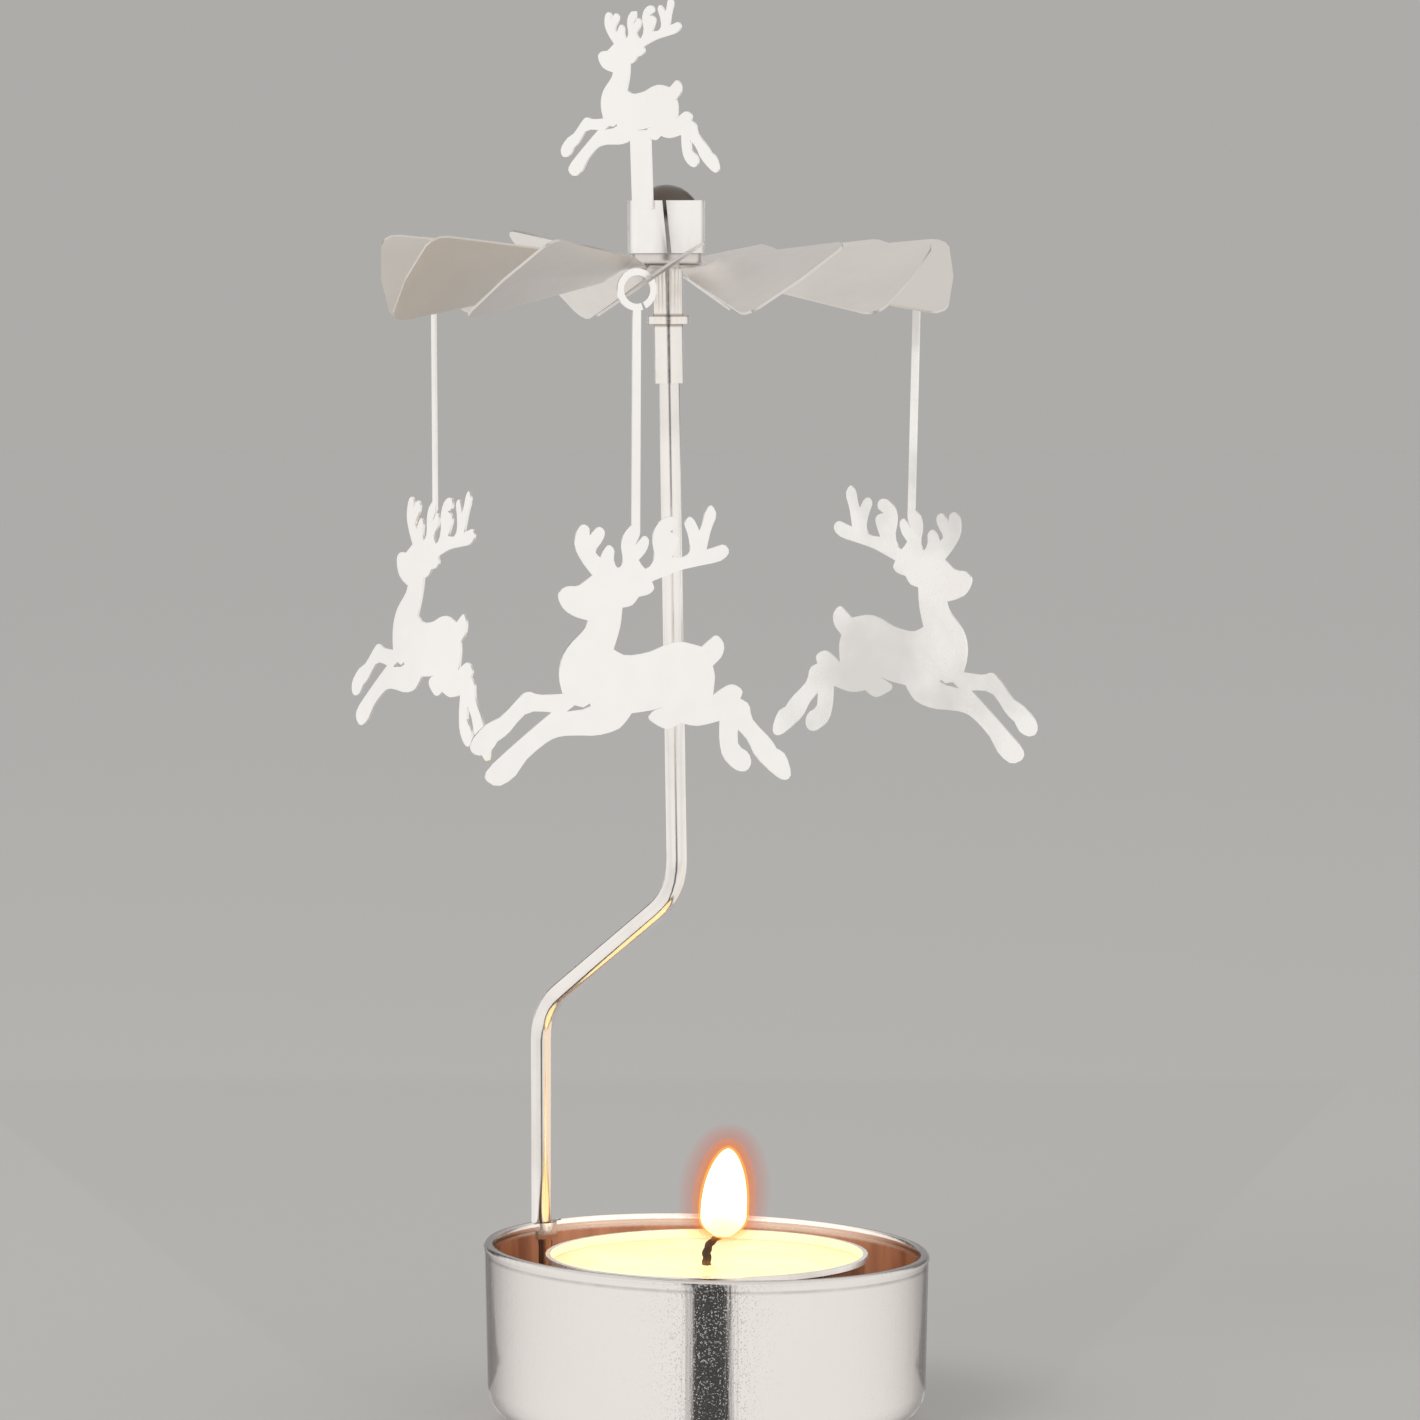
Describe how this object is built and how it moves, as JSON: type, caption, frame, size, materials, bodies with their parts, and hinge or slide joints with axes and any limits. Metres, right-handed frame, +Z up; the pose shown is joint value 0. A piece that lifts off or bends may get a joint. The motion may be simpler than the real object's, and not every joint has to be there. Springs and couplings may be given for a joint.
{
  "type": "rotating candle holder",
  "caption": "Sheet-metal candle holder whose bladed rotor turns on a needle above the flame, with leaping reindeer on top and hanging from the blades.",
  "frame": {"origin": "centre of the candle cup's flat underside", "axes": "+Z up, -Y towards the camera of the picture, +X to its right"},
  "size_m": [0.085, 0.0799, 0.1705],
  "materials": {
    "cup_metal": "bright nickel-like plating",
    "stem_metal": "bright nickel-like plating",
    "ferrule_metal": "bright nickel-like plating",
    "needle_metal": "plain steel",
    "rotor_metal": "bright plating, a little smoked",
    "figure_metal": "bright plating",
    "tealight_foil": "drawn thin sheet",
    "wax": null,
    "sustainer_metal": "plain thin steel",
    "wick_cotton": "charred braided cotton"
  },
  "bodies": {
    "holder": {"candle_cup": "cup_metal", "stem": "stem_metal", "pivot_ferrule": "ferrule_metal", "pivot_needle": "needle_metal"},
    "rotor": {"rotor": "rotor_metal", "top_reindeer": "figure_metal"},
    "figure_front": {"hanging_reindeer_front": "figure_metal"},
    "figure_left": {"hanging_reindeer_left": "figure_metal"},
    "figure_right": {"hanging_reindeer_right": "figure_metal"},
    "tealight": {"tealight_cup": "tealight_foil", "tealight_wax": "wax", "wick_sustainer": "sustainer_metal", "wick": "wick_cotton"}
  },
  "joints": [
    {"name": "rotor_spin", "type": "hinge", "parent": "holder", "child": "rotor", "pos_m": [-0.00482, 0.00419, 0.1387], "axis": [-0.0027, -0.0074, 1], "continuous": true},
    {"name": "figure_front_swing", "type": "hinge", "parent": "rotor", "child": "figure_front", "pos_m": [-0.00801, -0.02963, 0.13608], "axis": [-0.3939, 0.9191, 0], "range_deg": [-15, 15]},
    {"name": "figure_left_swing", "type": "hinge", "parent": "rotor", "child": "figure_left", "pos_m": [-0.03361, 0.02385, 0.13671], "axis": [0.8813, 0.4726, 0], "range_deg": [-15, 15]},
    {"name": "figure_right_swing", "type": "hinge", "parent": "rotor", "child": "figure_right", "pos_m": [0.02573, 0.01859, 0.13605], "axis": [-0.6129, -0.7902, 0], "range_deg": [-15, 15]},
    {"name": "tealight_lift", "type": "slide", "parent": "holder", "child": "tealight", "axis": [0, 0, 1], "range_m": [0, 0.02]}
  ]
}
